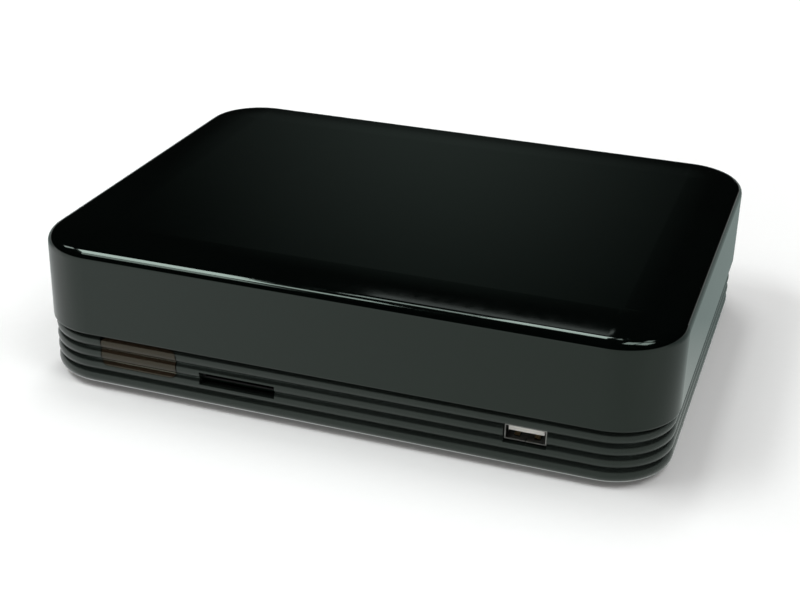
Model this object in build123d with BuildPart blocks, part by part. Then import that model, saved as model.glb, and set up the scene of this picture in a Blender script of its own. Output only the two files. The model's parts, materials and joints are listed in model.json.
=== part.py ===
"""Media player with a slide-out hard drive tray, in millimetres.

The case stands on Z = 0 with its front towards -Y, and the origin is below its centre.
The drive tray slides out through the left wall, towards -X.
"""

import os
from math import cos, radians, sin, sqrt

from build123d import *

os.makedirs("parts", exist_ok=True)

# ---------------------------------------------------------------- driving dimensions
# Case: it is as deep and as high as the drive and the rooms round it, and as wide as the
# bay and the fan between its two rear corners
CORNER_R = 21.2  # plan corner of the cover
COVER_LOW = 20.2  # height of the cover's lower edge
COVER_WALL = 2.2
COVER_SKIN = 2.0  # thickness of the cover's top
EDGE_R = 3.6  # round between wall and top
LOW_EDGE_R = 0.8  # round on the cover's lower edge
SHOULDER = 20.0  # width of the gentle fall towards the top's edge
SHOULDER_DROP = 1.3  # how far it falls
SEAM = 0.45  # shadow gap between base and cover

# Base
FOOT_H = 1.5
RIB_PITCH = 4.17
UPPER_RIBS = 3
RIB_CREST = 0.8  # how far the ribs' crests lie inside the cover's walls
RIB_DEPTH = 0.82
SKIRT_R = 3.5  # round of the lowest rib
BASE_WALL = 3.0  # from a crest to the inner face
FLOOR_T = 2.0
LIP_H = 2.75  # rim that locates the cover
LIP_GAP = 0.25

# Main board
BOARD_TOP = 10.5
BOARD_T = 1.6
BOARD_GAP_X = (26.0, 30.0)  # from the case's left and right walls
BOARD_GAP_Y = (5.5, 10.5)  # from its front and rear walls

# 3.5-inch drive
DRIVE_L = 147.0
DRIVE_W = 101.6
DRIVE_H = 26.1
DRIVE_R = 3.0  # upright corners
NOSE_ROOM = 11.0  # from the case's left wall to the drive
SIDE_ROOM = 29.7  # from the drive to the case's front and to its rear
HEAD_ROOM = 1.6  # from the drive to the cover's underside
DRIVE_LID_T = 0.8
LID_INSET = 1.5
LID_R = 4.0
LID_EMBOSS = 0.35
LID_RING_R = 38.0
LID_RING_W = 1.5
LID_PATCH = (30.0, 44.0)
PLATTER_X = 62.0  # from the drive's outer end
PLATTER_POCKET_R = 46.5
ARM_POCKET = (42.0, 78.0)
ARM_POCKET_X = 26.0  # from the connector end
ARM_POCKET_Y = -6.0
POCKET_DEPTH = 17.0
DRIVE_BOARD_L = 93.0
DRIVE_BOARD_HALF = 43.5
DRIVE_BOARD_T = 1.2
DRIVE_BOARD_UP = 1.0  # from the tray's floor
PLUG_Y = 23.0
PLUG_UP = 3.4  # its middle above the tray's floor
PLUG_HALF = 20.5
PLUG_H = 4.6
PLUG_DEPTH = 6.0
DRIVE_SCREW_X = (28.5, 130.1)  # from the connector end
DRIVE_SCREW_UP = 6.35
DRIVE_SCREW_R = 1.5

# Sheet metal
SHEET = 0.8

# Running gaps
SLIDE_GAP = 0.3  # tray over the cage's ledges
SIDE_GAP = 1.6  # tray wall to cage wall, for the screw heads between them
PANEL_GAP = 0.35  # round the bezel, handle and buttons
SHAFT_GAP = 0.05  # radial, round a pin
SCREW_GAP = 0.02  # radial, round a screw's shank

# Bezel and handle
BEZEL_OVER = 1.8  # past the cage
BEZEL_T = 3.5
BEZEL_SCREW_IN = 10.0
BEZEL_BOSS_R = 3.0
BOSS_DEPTH = 7.4  # from the bezel's face to the tray frame's front wall
HANDLE_T = 4.4
HANDLE_H = 12.0
HANDLE_FREE_Y = -20.0
HANDLE_PIVOT_Y = 32.0
HANDLE_PIN_R = 1.0
HANDLE_RIM = 1.5
HANDLE_NOSE_R = 0.8
PIN_HOLD = 2.0  # how far the pin goes into the bezel at each end
GRIP_RIBS = 4
GRIP_PITCH = 2.0
GRIP_W = 0.8
BUTTON_W = 10.0
BUTTON_FLANGE = 1.2
BUTTON_WEB = 1.5
BUTTON_BRIDGE = 1.2  # bezel between the button and the handle
SPRING_R = 2.0
SPRING_WIRE_R = 0.25
SPRING_TURNS = 4.5
SPRING_SEAT = 2.4  # from the bezel's face

# Front openings
WINDOW_INSET = 25.6  # from the case's left wall
WINDOW_W = 27.5
WINDOW_LOW = 9.6
WINDOW_R = 2.4
WINDOW_T = 1.8
WINDOW_SEAM = 0.15
WINDOW_RIM = 1.5
CARD_GAP = 8.0  # from the window to the card slot
CARD_SLOT_W = 26.2
CARD_SLOT_DOWN = 1.2  # its lower edge below the board's top
CARD_SLOT_H = 4.4
CARD_BODY = (28.0, 28.8, 3.2)
CARD_CAVITY = (24.4, 24.0, 2.3)
USB_INSET = 43.0  # from the case's right wall
USB_SETBACK = 1.5
USB_W = 13.1
USB_H = 5.1
USB_WALL = 0.35
USB_DEPTH = 14.0
USB_TONGUE = (11.2, 1.85)
USB_TONGUE_BACK = 1.2
USB_SEAM = 0.3
USB_SPRING_X = 3.2
USB_SPRING_W = 1.8

# Rear bay
BAY_MARGIN = 0.8  # from the corner's end to the bay
BAY_DOWN = 2.0  # its floor below the board's top
BAY_HEAD = 0.15  # from the upper collars to its ceiling
BAY_WALL = 1.5
PANEL_SETBACK = 8.2  # from the case's rear wall
SWITCH_STEP = 9.0  # from the bay's end to the switch, and so on along the row
DC_STEP = 14.0
LAN_STEP = 14.5
USB_B_STEP = 15.5
REAR_USB_STEP = 15.5
HDMI_STEP = 17.5
RCA_STEP = 28.0
RCA_MARGIN = 7.5
RCA_PITCH_X = 11.0
RCA_PITCH_Z = 12.0
RCA_UP = 6.5  # lower row above the board's top
RCA_R = 4.15
RCA_REACH = 7.8  # how far the barrels stand out of the panel
RCA_WALL = 0.55
RCA_ROOT = 4.0
RCA_BORE_R = 1.6
RCA_COLLAR_R = 5.35
RCA_COLLAR_T = 1.6
RCA_BLOCK_EDGE = 5.4
RCA_BLOCK_L = 12.0
PORT_STAND = 0.6  # how far the metal shells stand out of the panel
LAN_HALF = 8.0
LAN_H = 13.5
LAN_L = 15.5
LAN_CAVITY = (11.8, 12.0, 8.3)
LAN_CAVITY_UP = 1.6
LAN_LATCH = (6.0, 2.6)
LAN_PINS = 8
LAN_PIN_PITCH = 1.02
LAN_PIN_W = 0.4
USB_B_HALF = 6.0
USB_B_H = 10.9
USB_B_CAVITY = (8.6, 7.9)
USB_B_CHAMFER = 1.6
USB_B_TONGUE = (5.6, 3.2)
HDMI_HALF = 7.5
HDMI_H = 5.6
HDMI_L = 11.0
HDMI_WALL = 0.5
HDMI_CHAMFER = 1.4
HDMI_TONGUE = (11.2, 1.1)
DC_HALF = 4.5
DC_H = 11.0
DC_L = 13.0
DC_UP = 6.5
DC_BORE_R = 3.1
DC_PIN_R = 1.0
SWITCH_UP = 15.0  # its middle above the board's top
SWITCH_HALF = (6.3, 6.8)
SWITCH_TILT = 9.0  # degrees either side of level
SWITCH_FLANGE = 1.2
ROCKER_HALF = 4.0
ROCKER_STUB_R = 0.8
ROCKER_STUB_L = 1.4
RESET_UP = 3.0
RESET_R = 1.6
RESET_TRAVEL = 0.6
RESET_BORE = 3.4

# Fan
FAN = 25.0
FAN_T = 8.0
FAN_SPACE = 5.5  # from the bay to the fan
FAN_MARGIN = 4.3  # from the fan to the corner
FAN_DROP = 17.0  # its middle below the cover's top
FAN_HOLE = 10.0  # half the hole spacing
FAN_R = 11.6
BLADES = 7
HUB_R = 5.5
AXLE_R = 0.8
BLADE_PITCH = 38.0  # degrees
BLADE_W = 5.0
BLADE_T = 0.8
FAN_WEB = 0.8
SPOKE_W = 1.8
GRILLE_PITCH = 4.0
GRILLE_W = 2.0
FAN_SCREW_SINK = 1.3
FAN_SCREW_HEAD_R = 2.2

# Posts and screws
POST_SPLIT = 14.0  # where the cover's bosses meet the base's posts
COVER_POST_IN = (13.0, 12.0)  # from the case's walls
CAGE_POST_OUT = 4.3  # from the cage's wall
COVER_POST_R = 4.2
COVER_BOSS_R = 3.6
BASE_POST_R = 2.8
SCREW_R = 1.25
SCREW_HEAD_R = 2.8
SCREW_HEAD_H = 1.8
SMALL_SCREW_R = 1.0
SMALL_HEAD_R = 1.9
SMALL_HEAD_H = 1.2
FOOT_R = 4.9
FOOT_SEAT = 0.8
FOOT_IN = 26.0  # from the case's walls
FOOT_CHAMFER = 0.5

# Cage and backplane
CAGE_DOWN = 2.0  # its top below the drive's
CAGE_START = 5.0  # from the case's left wall
LEDGE_W = 5.0
CAGE_SLOT = (20.0, 8.0)
BACKPLANE_GAP = 6.5  # from the drive's connector end
BACKPLANE_HALF = 40.0
BACKPLANE_UP = 2.4  # its lower edge above the board
HEADER_HALF = 25.0
HEADER_H = 6.0
TRAY_WALL_H = 20.0
TRAY_SLOT_W = 6.0
TRAY_SLOT_PITCH = 12.0

# Parts on the board; places are from the case's middle
CHIP = (-14.0, -8.0)
CHIP_HALF = 13.5
CHIP_T = 1.8
SINK_H = 5.5
SINK_BASE = 1.5
FIN_COUNT = 8
FIN_GAP = 2.0
MEMORY = ((-46.0, -16.0), (-46.0, 0.0), (-14.0, -34.0), (4.0, -34.0))
MEMORY_SIZE = (12.0, 9.0, 1.1)
SUPPORT = ((22.0, 14.0, 5.0), (-40.0, 34.0, 4.0), (34.0, -24.0, 4.5), (12.0, 34.0, 5.0))
SUPPORT_T = 1.0
CAPACITOR = ((-66.0, 30.0), (-66.0, 20.0), (-66.0, 10.0), (-56.0, 30.0), (40.0, 4.0), (66.0, -30.0),
             (66.0, -20.0))
CAPACITOR_R = 3.1
CAPACITOR_H = 7.0
INDUCTOR = ((-56.0, 42.0), (-44.0, 46.0), (44.0, 20.0))
INDUCTOR_W = 7.0
INDUCTOR_H = 3.6
INDUCTOR_R = 1.2

# Floor vents
VENT_PITCH = 7.0
VENT_W = 3.0
VENT_L = 44.0
VENTS_EACH_SIDE = 6

# Fine fits at the sockets
USB_GAP_X = 0.25
USB_GAP_Z = 0.6
PORT_GAP = 0.2


# ---------------------------------------------------------------- worked-out places
BAY_W = (SWITCH_STEP + DC_STEP + LAN_STEP + USB_B_STEP + REAR_USB_STEP + HDMI_STEP + RCA_STEP
         + RCA_PITCH_X + RCA_MARGIN)
CASE_W = 2 * CORNER_R + BAY_MARGIN + BAY_W + BAY_WALL + FAN_SPACE + FAN + FAN_MARGIN
CASE_D = DRIVE_W + 2 * SIDE_ROOM
CASE_H = COVER_LOW + SLIDE_GAP + SHEET + DRIVE_H + HEAD_ROOM + COVER_SKIN
HALF_W = CASE_W / 2
HALF_D = CASE_D / 2
FACE_X = -HALF_W
BASE_TOP = COVER_LOW - SEAM
GROOVE = RIB_CREST + RIB_DEPTH
LAST_GROOVE_Z = BASE_TOP - UPPER_RIBS * RIB_PITCH
BASE_IN = RIB_CREST + BASE_WALL
FLOOR_TOP = FOOT_H + FLOOR_T
BOARD_LOW = BOARD_TOP - BOARD_T
LEDGE_TOP = COVER_LOW
TRAY_LOW = LEDGE_TOP + SLIDE_GAP
TRAY_FLOOR = TRAY_LOW + SHEET
DRIVE_TOP = TRAY_FLOOR + DRIVE_H
DRIVE_X0 = FACE_X + NOSE_ROOM
DRIVE_END_X = DRIVE_X0 + DRIVE_L
BEZEL_TOP = DRIVE_TOP + 0.05
BEZEL_MID_Z = (COVER_LOW + BEZEL_TOP) / 2
TRAY_FRONT_X = FACE_X + BOSS_DEPTH
TRAY_IN = DRIVE_W / 2 + 0.2
TRAY_OUT = TRAY_IN + SHEET
CAGE_IN = TRAY_OUT + SIDE_GAP
CAGE_OUT = CAGE_IN + SHEET
BEZEL_HALF = CAGE_OUT + BEZEL_OVER
BEZEL_SCREW_Y = BEZEL_HALF - BEZEL_SCREW_IN
BACKPLANE_X = DRIVE_END_X + BACKPLANE_GAP
PANEL_FACE_Y = HALF_D - PANEL_SETBACK
PANEL_Y = PANEL_FACE_Y - BAY_WALL
BOARD_X = (-HALF_W + BOARD_GAP_X[0], HALF_W - BOARD_GAP_X[1])
BOARD_Y = (-HALF_D + BOARD_GAP_Y[0], HALF_D - BOARD_GAP_Y[1])
FRONT_CREST_Y = -HALF_D + RIB_CREST
USB_MOUTH_Y = FRONT_CREST_Y + USB_SETBACK
FRONT_IN_Y = -HALF_D + BASE_IN
HANDLE_PIVOT_X = FACE_X + HANDLE_T / 2
COVER_POSTS = [(x * (HALF_W - COVER_POST_IN[0]), y * (HALF_D - COVER_POST_IN[1]))
               for x in (-1, 1) for y in (-1, 1)]
CAGE_POSTS = [(x, y * (CAGE_OUT + CAGE_POST_OUT)) for x in (FACE_X + 15, DRIVE_END_X + 2)
              for y in (-1, 1)]
BOARD_POSTS = [(BOARD_X[0] + 8, BOARD_Y[0] + 15), (BOARD_X[0] + 8, BOARD_Y[1] - 20),
               (BOARD_X[1] - 6, BOARD_Y[0] + 25), (BOARD_X[1] - 6, BOARD_Y[1] - 10)]
FEET = [(x * (HALF_W - FOOT_IN), y * (HALF_D - FOOT_IN)) for x in (-1, 1) for y in (-1, 1)]
WINDOW_X = (FACE_X + WINDOW_INSET, FACE_X + WINDOW_INSET + WINDOW_W)
CARD_SLOT_X = (WINDOW_X[1] + CARD_GAP, WINDOW_X[1] + CARD_GAP + CARD_SLOT_W)
CARD_SLOT_Z = (BOARD_TOP - CARD_SLOT_DOWN, BOARD_TOP - CARD_SLOT_DOWN + CARD_SLOT_H)
USB_X = HALF_W - USB_INSET
USB_Z = BOARD_TOP + USB_H / 2
BUTTON_Y = HANDLE_FREE_Y - 2 * PANEL_GAP - BUTTON_BRIDGE - BUTTON_W / 2
BAY_X = (FACE_X + CORNER_R + BAY_MARGIN, FACE_X + CORNER_R + BAY_MARGIN + BAY_W)
SWITCH_X = BAY_X[0] + SWITCH_STEP
DC_X = SWITCH_X + DC_STEP
LAN_X = DC_X + LAN_STEP
USB_B_X = LAN_X + USB_B_STEP
REAR_USB_X = USB_B_X + REAR_USB_STEP
HDMI_X = REAR_USB_X + HDMI_STEP
RCA_X = HDMI_X + RCA_STEP
RCA_LOW_Z = BOARD_TOP + RCA_UP
BAY_Z = (BOARD_TOP - BAY_DOWN, RCA_LOW_Z + RCA_PITCH_Z + RCA_COLLAR_R + BAY_HEAD)
SWITCH_Z = BOARD_TOP + SWITCH_UP
RESET_Z = BOARD_TOP + RESET_UP
DC_Z = BOARD_TOP + DC_UP
BAY_OUT_X = (BAY_X[0] - BAY_WALL, BAY_X[1] + BAY_WALL)
BAY_OUT_Z = (BAY_Z[0] - BAY_WALL, BAY_Z[1] + BAY_WALL)
COVER_IN_Y = HALF_D - COVER_WALL
BASE_IN_Y = HALF_D - BASE_IN
FAN_X = BAY_OUT_X[1] + FAN_SPACE + FAN / 2
FAN_Y = COVER_IN_Y - FAN_T
FAN_Z = CASE_H - FAN_DROP
FAN_SPOTS = [(FAN_X + i * FAN_HOLE, FAN_Z + k * FAN_HOLE) for i in (-1, 1) for k in (-1, 1)]
DRIVE_SOCKET_Z = TRAY_FLOOR + PLUG_UP
DRIVE_BOARD_Z = TRAY_FLOOR + DRIVE_BOARD_UP
DRIVE_SCREW_Z = TRAY_FLOOR + DRIVE_SCREW_UP
DRIVE_SCREWS = [(DRIVE_END_X - x, side) for x in DRIVE_SCREW_X for side in (-1, 1)]
TRAY_WALL_TOP = TRAY_FLOOR + TRAY_WALL_H
CAGE_TOP = DRIVE_TOP - CAGE_DOWN
CAGE_X0 = FACE_X + CAGE_START
CAGE_END_X = BACKPLANE_X + BOARD_T
BACKPLANE_Z = (BOARD_TOP + BACKPLANE_UP, CAGE_TOP - 1)
RECESS_Y = (HANDLE_FREE_Y - PANEL_GAP, HANDLE_PIVOT_Y + HANDLE_T / 2 + PANEL_GAP)
RECESS_Z = (BEZEL_MID_Z - HANDLE_H / 2 - PANEL_GAP, BEZEL_MID_Z + HANDLE_H / 2 + PANEL_GAP)
SPRING_SEAT_X = FACE_X + SPRING_SEAT
SPRING_X = (SPRING_SEAT_X + SPRING_WIRE_R + SCREW_GAP, TRAY_FRONT_X - SPRING_WIRE_R - SCREW_GAP)
SWITCH_LEAN = radians(SWITCH_TILT)
ROCKER_Y = PANEL_FACE_Y - 1.0
RCA_SPOTS = [(RCA_X + i * RCA_PITCH_X, RCA_LOW_Z + k * RCA_PITCH_Z) for i in (-1, 0, 1) for k in (0, 1)]


# ---------------------------------------------------------------- helpers
def block(low, high, mode=Mode.ADD):
    """A box between two corners."""
    with Locations([tuple((a + b) / 2 for a, b in zip(low, high))]):
        Box(*(b - a for a, b in zip(low, high)), mode=mode)


def post(x, y, z0, z1, r, mode=Mode.ADD):
    """An upright cylinder."""
    with Locations([(x, y, (z0 + z1) / 2)]):
        Cylinder(r, z1 - z0, mode=mode)


def rod_y(x, z, y0, y1, r, mode=Mode.ADD):
    """A cylinder along Y."""
    with Locations([Location((x, (y0 + y1) / 2, z), (90, 0, 0))]):
        Cylinder(r, y1 - y0, mode=mode)


def rod_x(y, z, x0, x1, r, mode=Mode.ADD):
    """A cylinder along X."""
    with Locations([Location(((x0 + x1) / 2, y, z), (0, 90, 0))]):
        Cylinder(r, x1 - x0, mode=mode)


def keep(part, name):
    """Label a finished piece and write it."""
    part.part.label = name
    export_step(part.part, f"parts/{name}.step")


def crown_z(inset, skin=0.0):
    """Height of the cover's top over a point this far inside its wall."""
    crown_r = (SHOULDER**2 + SHOULDER_DROP**2) / (2 * SHOULDER_DROP)
    reach = max(SHOULDER - inset, 0.0)
    return CASE_H - crown_r + sqrt((crown_r - skin) ** 2 - reach**2)


def shoulder_line(wall, skin, low):
    """Wall, round and shoulder of the cover, from (wall, low) to the flat top."""
    crown_r = (SHOULDER**2 + SHOULDER_DROP**2) / (2 * SHOULDER_DROP)
    r = max(EDGE_R - wall, 0.8)
    centre_z = CASE_H - crown_r
    round_z = centre_z + sqrt((crown_r - skin - r) ** 2 - (SHOULDER - wall - r) ** 2)
    round_x = wall + r
    grow = (crown_r - skin) / (crown_r - skin - r)
    meet = (SHOULDER + (round_x - SHOULDER) * grow, centre_z + (round_z - centre_z) * grow)
    mid_x = (meet[0] + SHOULDER) / 2
    mid = (mid_x, centre_z + sqrt((crown_r - skin) ** 2 - (SHOULDER - mid_x) ** 2))
    Line((wall, low), (wall, round_z))
    half = (meet[0] - round_x, meet[1] - round_z)
    lean = sqrt((half[0] - r) ** 2 + half[1] ** 2)
    ThreePointArc((wall, round_z),
                  (round_x + r * (half[0] - r) / lean, round_z + r * half[1] / lean), meet)
    ThreePointArc(meet, mid, (SHOULDER, CASE_H - skin))


def rib_line():
    """Outer line of the base, from its floor up to its rim."""
    skirt_x = RIB_CREST + SKIRT_R
    skirt_z = FOOT_H + SKIRT_R
    last = skirt_x - sqrt(SKIRT_R**2 - (LAST_GROOVE_Z - skirt_z) ** 2)
    ThreePointArc((skirt_x, FOOT_H),
                  (skirt_x - SKIRT_R * cos(radians(35)), skirt_z - SKIRT_R * sin(radians(35))),
                  (last, LAST_GROOVE_Z))
    start = (last, LAST_GROOVE_Z)
    for rib in range(UPPER_RIBS):
        z = LAST_GROOVE_Z + rib * RIB_PITCH
        end = (GROOVE, z + RIB_PITCH)
        ThreePointArc(start, (RIB_CREST, z + RIB_PITCH / 2), end)
        start = end


# The right half of the case's outline, which every ring follows
with BuildLine() as half_outline:
    FilletPolyline((0, -HALF_D), (HALF_W, -HALF_D), (HALF_W, HALF_D), (0, HALF_D), radius=CORNER_R)

front_section = Plane(origin=(0, -HALF_D, 0), x_dir=(0, 1, 0), z_dir=(1, 0, 0))
left_section = Plane(origin=(-HALF_W, 0, 0), x_dir=(1, 0, 0), z_dir=(0, -1, 0))


# ---------------------------------------------------------------- cover
with BuildPart() as top_cover:
    with BuildSketch(front_section) as cover_section:
        with BuildLine():
            shoulder_line(0, 0, COVER_LOW + LOW_EDGE_R)
            Line((SHOULDER, CASE_H), (SHOULDER, CASE_H - COVER_SKIN))
            shoulder_line(COVER_WALL, COVER_SKIN, COVER_LOW)
            Line((COVER_WALL, COVER_LOW), (LOW_EDGE_R, COVER_LOW))
            RadiusArc((LOW_EDGE_R, COVER_LOW), (0, COVER_LOW + LOW_EDGE_R), LOW_EDGE_R)
        make_face()
    sweep(sections=cover_section.sketch, path=half_outline.wire())
    mirror(about=Plane.YZ)
    with BuildSketch(Plane.XY.offset(CASE_H - COVER_SKIN)):
        RectangleRounded(CASE_W - 2 * SHOULDER, CASE_D - 2 * SHOULDER, CORNER_R - SHOULDER)
    extrude(amount=COVER_SKIN)
    # bosses for the case screws
    for x, y in COVER_POSTS:
        post(x, y, POST_SPLIT, crown_z(4, COVER_SKIN) + 0.3, COVER_BOSS_R)
        post(x, y, POST_SPLIT - 1, POST_SPLIT + 12, SCREW_R, mode=Mode.SUBTRACT)
    # tray opening
    block((FACE_X - 1, -BEZEL_HALF - PANEL_GAP, COVER_LOW - 1),
          (FACE_X + 8, BEZEL_HALF + PANEL_GAP, BEZEL_TOP + PANEL_GAP), mode=Mode.SUBTRACT)
    # rear bay opening
    block((BAY_X[0], COVER_IN_Y - 1, COVER_LOW - 1), (BAY_X[1], HALF_D + 1, BAY_Z[1]),
          mode=Mode.SUBTRACT)
    # fan screws and grille
    for x, z in FAN_SPOTS:
        rod_y(x, z, COVER_IN_Y - 1, HALF_D + 1, SCREW_R + 0.1, mode=Mode.SUBTRACT)
        rod_y(x, z, HALF_D - FAN_SCREW_SINK, HALF_D + 1, FAN_SCREW_HEAD_R + 0.1, mode=Mode.SUBTRACT)
    for slot in range(-2, 3):
        x = FAN_X + GRILLE_PITCH * slot
        reach = sqrt((FAN_R - 1) ** 2 - (GRILLE_PITCH * slot) ** 2)
        block((x - GRILLE_W / 2, COVER_IN_Y - 1, FAN_Z - reach),
              (x + GRILLE_W / 2, HALF_D + 1, FAN_Z + reach), mode=Mode.SUBTRACT)
keep(top_cover, "top_cover")

# ---------------------------------------------------------------- base
window_size = (WINDOW_X[1] - WINDOW_X[0], BASE_TOP - WINDOW_LOW)
window_mid = ((WINDOW_X[0] + WINDOW_X[1]) / 2, (BASE_TOP + WINDOW_LOW) / 2)

with BuildPart() as base_shell:
    with BuildSketch(front_section) as base_section:
        with BuildLine():
            rib_line()
            Polyline((GROOVE, BASE_TOP), (COVER_WALL + LIP_GAP, BASE_TOP),
                     (COVER_WALL + LIP_GAP, BASE_TOP + LIP_H), (BASE_IN, BASE_TOP + LIP_H),
                     (BASE_IN, FLOOR_TOP), (RIB_CREST + SKIRT_R + 1, FLOOR_TOP),
                     (RIB_CREST + SKIRT_R + 1, FOOT_H), (RIB_CREST + SKIRT_R, FOOT_H))
        make_face()
    sweep(sections=base_section.sketch, path=half_outline.wire())
    mirror(about=Plane.YZ)
    with BuildSketch(Plane.XY.offset(FOOT_H)):
        skirt = RIB_CREST + SKIRT_R
        RectangleRounded(CASE_W - 2 * skirt, CASE_D - 2 * skirt, CORNER_R - skirt)
    extrude(amount=FLOOR_T)
    # posts for the case screws, the cage and the board
    for x, y in COVER_POSTS:
        post(x, y, FLOOR_TOP - 1, POST_SPLIT, COVER_POST_R)
        post(x, y, FOOT_H - 1, POST_SPLIT + 1, SCREW_R + 0.2, mode=Mode.SUBTRACT)
        post(x, y, FOOT_H - 1, FLOOR_TOP + 0.6, SCREW_HEAD_R + 0.2, mode=Mode.SUBTRACT)
    for x, y in CAGE_POSTS:
        post(x, y, FLOOR_TOP - 1, LEDGE_TOP - SHEET, BASE_POST_R)
        post(x, y, LEDGE_TOP - 9, LEDGE_TOP, SMALL_SCREW_R, mode=Mode.SUBTRACT)
    for x, y in BOARD_POSTS:
        post(x, y, FLOOR_TOP - 1, BOARD_LOW, BASE_POST_R)
        post(x, y, BOARD_LOW - 4, BOARD_LOW + 1, SMALL_SCREW_R, mode=Mode.SUBTRACT)
    # ribs that carry the rear bay
    for x in (BAY_X[0] + 8, (BAY_X[0] + BAY_X[1]) / 2, BAY_X[1] - 8):
        block((x - 1, PANEL_Y + 1, FLOOR_TOP - 1), (x + 1, BASE_IN_Y + 1, BAY_OUT_Z[0]))
    # the rim is left out beside the tray and along the rear
    block((FACE_X - 1, -BEZEL_HALF - 2, BASE_TOP),
          (FACE_X + 8, BEZEL_HALF + 2, BASE_TOP + LIP_H + 1), mode=Mode.SUBTRACT)
    block((BAY_X[0] - 4, BASE_IN_Y - 4, BASE_TOP),
          (FAN_X + FAN / 2 + 2, HALF_D, BASE_TOP + LIP_H + 1), mode=Mode.SUBTRACT)
    block((FAN_X - FAN / 2 - 0.5, BASE_IN_Y - 1, FAN_Z - FAN / 2 - 0.5),
          (FAN_X + FAN / 2 + 0.5, COVER_IN_Y + LIP_GAP, CASE_H), mode=Mode.SUBTRACT)
    # rear bay opening
    block((BAY_X[0], BASE_IN_Y - 0.5, BAY_Z[0]), (BAY_X[1], HALF_D + 1, BASE_TOP + 1),
          mode=Mode.SUBTRACT)
    # window, card slot and USB openings in the front
    with BuildSketch(Plane.XZ.offset(HALF_D + 1)):
        with Locations([window_mid]):
            RectangleRounded(window_size[0], window_size[1], WINDOW_R)
        with Locations([(window_mid[0] - WINDOW_R / 2, BASE_TOP)]):
            Rectangle(window_size[0] - WINDOW_R, 2 * WINDOW_R)
    extrude(amount=-(BASE_IN + 2), mode=Mode.SUBTRACT)
    block((CARD_SLOT_X[0], -HALF_D - 1, CARD_SLOT_Z[0]),
          (CARD_SLOT_X[1], FRONT_IN_Y + 1, CARD_SLOT_Z[1]), mode=Mode.SUBTRACT)
    block((USB_X - USB_W / 2 - USB_GAP_X, -HALF_D - 1, USB_Z - USB_H / 2 - USB_GAP_Z),
          (USB_X + USB_W / 2 + USB_GAP_X, FRONT_IN_Y + 1, USB_Z + USB_H / 2 + USB_GAP_Z),
          mode=Mode.SUBTRACT)
    # foot seats and air slots in the floor
    for x, y in FEET:
        post(x, y, FOOT_H - 1, FOOT_H + FOOT_SEAT, FOOT_R + 0.1, mode=Mode.SUBTRACT)
    for k in range(-VENTS_EACH_SIDE, VENTS_EACH_SIDE + 1):
        block((VENT_PITCH * k - VENT_W / 2, -VENT_L / 2, FOOT_H - 1),
              (VENT_PITCH * k + VENT_W / 2, VENT_L / 2, FLOOR_TOP + 0.5), mode=Mode.SUBTRACT)
keep(base_shell, "base_shell")

with BuildPart() as ir_window:
    with BuildSketch(front_section.offset(WINDOW_X[0])):
        with BuildLine():
            rib_line()
            Polyline((GROOVE, BASE_TOP), (BASE_IN + 1, BASE_TOP), (BASE_IN + 1, FOOT_H),
                     (RIB_CREST + SKIRT_R, FOOT_H))
        make_face()
    extrude(amount=window_size[0])
    with BuildSketch(Plane.XZ.offset(HALF_D + 1)):
        with Locations([window_mid]):
            RectangleRounded(window_size[0] - 2 * WINDOW_SEAM, window_size[1] - 2 * WINDOW_SEAM,
                             WINDOW_R)
    extrude(amount=-(BASE_IN + 1), mode=Mode.INTERSECT)
    block((WINDOW_X[0] - WINDOW_RIM, FRONT_IN_Y, WINDOW_LOW - WINDOW_RIM),
          (WINDOW_X[1] + WINDOW_RIM, FRONT_IN_Y + 1.2, BASE_TOP))
    block((WINDOW_X[0] + 1.4, FRONT_CREST_Y + WINDOW_T, WINDOW_LOW + 1.4),
          (WINDOW_X[1] - 1.4, FRONT_IN_Y + 2, BASE_TOP - 1.4), mode=Mode.SUBTRACT)
keep(ir_window, "ir_window")

with BuildPart() as rubber_feet:
    for x, y in FEET:
        post(x, y, 0, FOOT_H + FOOT_SEAT, FOOT_R)
    chamfer(rubber_feet.edges().group_by(Axis.Z)[0], FOOT_CHAMFER)
keep(rubber_feet, "rubber_feet")

with BuildPart() as cover_screws:
    for x, y in COVER_POSTS:
        seat = FLOOR_TOP + 0.6
        post(x, y, seat - SCREW_HEAD_H, seat, SCREW_HEAD_R)
        post(x, y, seat - 0.5, POST_SPLIT + 8, SCREW_R - SCREW_GAP)
        for turn in ((2.8, 0.7), (0.7, 2.8)):
            block((x - turn[0] / 2, y - turn[1] / 2, seat - SCREW_HEAD_H - 1),
                  (x + turn[0] / 2, y + turn[1] / 2, seat - SCREW_HEAD_H + 0.9), mode=Mode.SUBTRACT)
keep(cover_screws, "cover_screws")

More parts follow.
